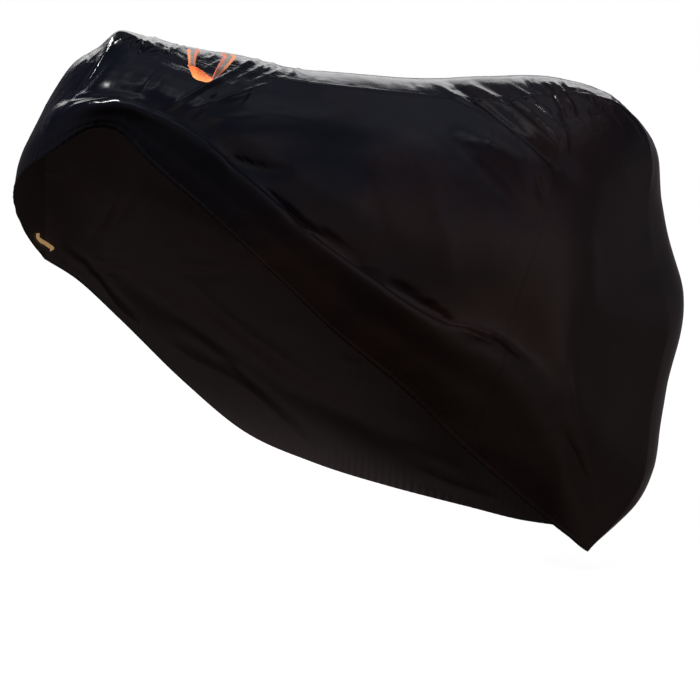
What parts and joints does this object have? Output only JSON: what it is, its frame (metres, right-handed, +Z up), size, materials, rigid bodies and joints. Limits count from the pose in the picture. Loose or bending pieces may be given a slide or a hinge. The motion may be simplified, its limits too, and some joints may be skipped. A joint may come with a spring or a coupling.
{
  "type": "bicycle cover",
  "caption": "Fitted bicycle cover of thin coated nylon, draped and open underneath, its near side lifted in a long pleat, with a webbing handle and an elastic hem.",
  "frame": {"origin": "the carrying point: on the underside of the top cloth, in the cover's middle plane, halfway along", "axes": "+Z up, +X from the nose to the tail, -Y towards the side that is lifted"},
  "size_m": [1.6825, 0.734, 1.3386],
  "materials": {
    "nylon": "thin black nylon, satin outside, matt brown-black coating inside",
    "webbing": "woven orange tape, the handle's face with a grey reflective centre stripe"
  },
  "bodies": {
    "root": {"gusset": "nylon", "near_front_panel": "nylon", "near_rear_panel": "nylon", "far_front_panel": "nylon", "far_rear_panel": "nylon", "top_loop": "webbing", "hem_loop": "webbing"}
  },
  "joints": []
}
